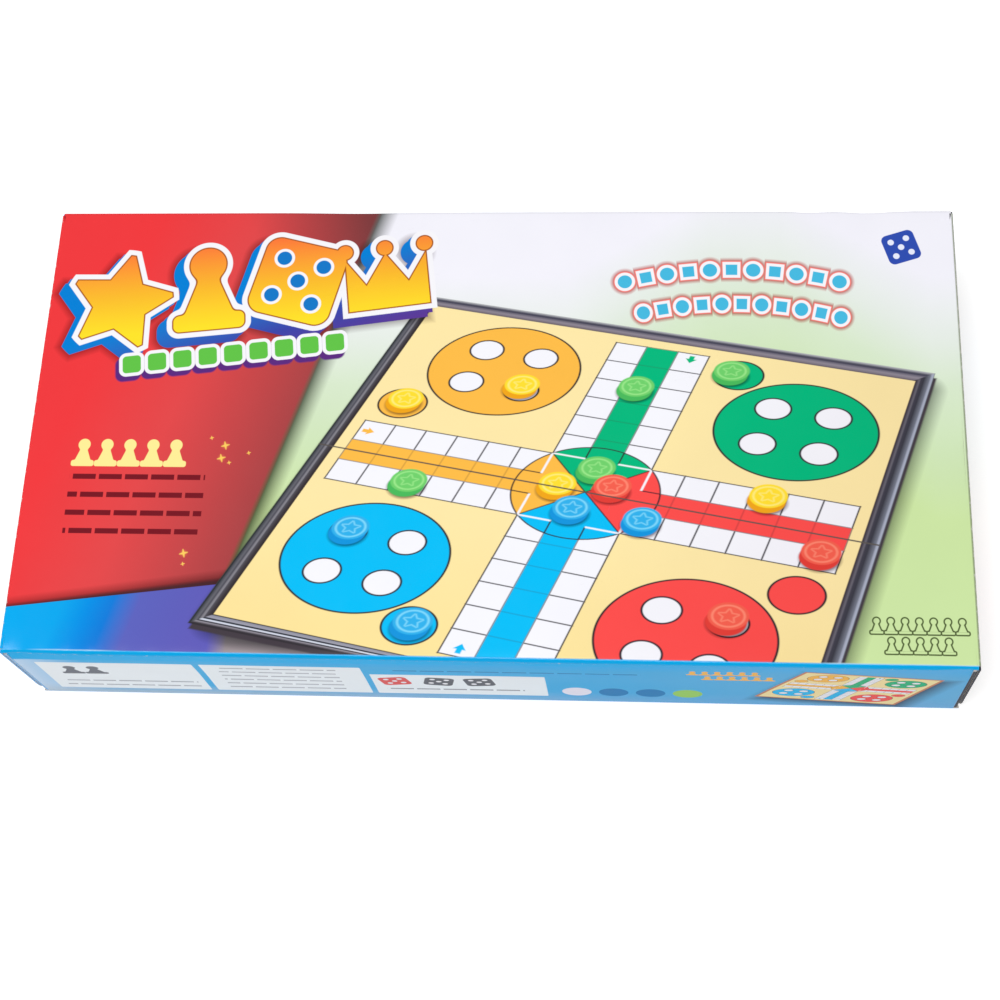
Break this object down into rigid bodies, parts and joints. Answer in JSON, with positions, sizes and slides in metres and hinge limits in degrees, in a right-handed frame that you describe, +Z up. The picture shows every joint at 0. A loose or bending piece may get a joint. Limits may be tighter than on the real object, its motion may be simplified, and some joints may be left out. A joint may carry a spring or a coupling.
{
  "type": "folding ludo board box",
  "caption": "Tuck-end printed carton lying flat, with hinged end covers, tongues and dust flaps, holding a folded two-part ludo board case with counters and a die.",
  "frame": {"origin": "middle of the carton's underside", "axes": "+X along the carton's length, +Y from the front panel to the back panel, +Z up out of the top panel"},
  "size_m": [0.2556, 0.1316, 0.0421],
  "materials": {
    "printed_board": "gloss laminated print on white folding boxboard, about 0.5 mm",
    "printed_top": "gloss laminated four-colour print on white folding boxboard",
    "bare_board": "uncoated inside of folding boxboard, matt",
    "leaflet_paper": "folded white offset paper, matt",
    "black_plastic": "black moulded plastic, fine grain",
    "play_sheet": "printed and laminated play sheet",
    "hinge_steel": "bright steel wire",
    "red_plastic": "moulded plastic",
    "yellow_plastic": "moulded plastic",
    "green_plastic": "moulded plastic",
    "blue_plastic": "moulded plastic",
    "die_plastic": "moulded plastic with painted pips"
  },
  "bodies": {
    "carton": {"top_panel": "printed_top", "front_panel": "printed_board", "bottom_panel": "printed_board", "back_panel": "printed_board", "glue_tab": "bare_board", "instruction_leaflet": "leaflet_paper"},
    "board_case": {"case_lower_shell": "black_plastic", "lower_play_sheet": "play_sheet", "case_hinge_pins": "hinge_steel", "die": "die_plastic", "counters_red": "red_plastic", "counters_yellow": "yellow_plastic", "counters_green": "green_plastic", "counters_blue": "blue_plastic"},
    "upper_half": {"case_upper_shell": "black_plastic", "upper_play_sheet": "play_sheet"},
    "right_cover": {"right_cover": "printed_board"},
    "right_tongue": {"right_tongue": "printed_board"},
    "right_dust_flap_front": {"right_dust_flap_front": "printed_board"},
    "right_dust_flap_back": {"right_dust_flap_back": "printed_board"},
    "left_cover": {"left_cover": "printed_board"},
    "left_tongue": {"left_tongue": "printed_board"},
    "left_dust_flap_front": {"left_dust_flap_front": "printed_board"},
    "left_dust_flap_back": {"left_dust_flap_back": "printed_board"}
  },
  "joints": [
    {"name": "right_cover_crease", "type": "hinge", "parent": "carton", "child": "right_cover", "pos_m": [0.12755, 0, 0.04187], "axis": [0, -1, 0], "range_deg": [0, 160]},
    {"name": "right_tongue_crease", "type": "hinge", "parent": "right_cover", "child": "right_tongue", "pos_m": [0.1273, 0, 0.00167], "axis": [0, 1, 0], "range_deg": [0, 80]},
    {"name": "right_front_flap_crease", "type": "hinge", "parent": "carton", "child": "right_dust_flap_front", "pos_m": [0.12675, -0.0655, 0.02094], "axis": [0, 0, -1], "range_deg": [0, 90]},
    {"name": "right_back_flap_crease", "type": "hinge", "parent": "carton", "child": "right_dust_flap_back", "pos_m": [0.12675, 0.0655, 0.02094], "axis": [0, 0, 1], "range_deg": [0, 90]},
    {"name": "left_cover_crease", "type": "hinge", "parent": "carton", "child": "left_cover", "pos_m": [-0.12755, 0, 0.04187], "axis": [0, 1, 0], "range_deg": [0, 160]},
    {"name": "left_tongue_crease", "type": "hinge", "parent": "left_cover", "child": "left_tongue", "pos_m": [-0.1273, 0, 0.00167], "axis": [0, -1, 0], "range_deg": [0, 80]},
    {"name": "left_front_flap_crease", "type": "hinge", "parent": "carton", "child": "left_dust_flap_front", "pos_m": [-0.12675, -0.0655, 0.02094], "axis": [0, 0, 1], "range_deg": [0, 90]},
    {"name": "left_back_flap_crease", "type": "hinge", "parent": "carton", "child": "left_dust_flap_back", "pos_m": [-0.12675, 0.0655, 0.02094], "axis": [0, 0, -1], "range_deg": [0, 90]},
    {"name": "case_slide", "type": "slide", "parent": "carton", "child": "board_case", "axis": [1, 0, 0], "range_m": [-0.0012, 0.0012]},
    {"name": "board_fold", "type": "hinge", "parent": "board_case", "child": "upper_half", "pos_m": [0, 0.06125, 0.02087], "axis": [-1, 0, 0], "range_deg": [0, 0.6]}
  ],
  "couplings": [
    {"joint": "right_tongue_crease", "follows": "right_cover_crease", "ratio": 0.5},
    {"joint": "right_front_flap_crease", "follows": "right_cover_crease", "ratio": 0.5625},
    {"joint": "right_back_flap_crease", "follows": "right_cover_crease", "ratio": 0.5625},
    {"joint": "left_tongue_crease", "follows": "left_cover_crease", "ratio": 0.5},
    {"joint": "left_front_flap_crease", "follows": "left_cover_crease", "ratio": 0.5625},
    {"joint": "left_back_flap_crease", "follows": "left_cover_crease", "ratio": 0.5625}
  ]
}
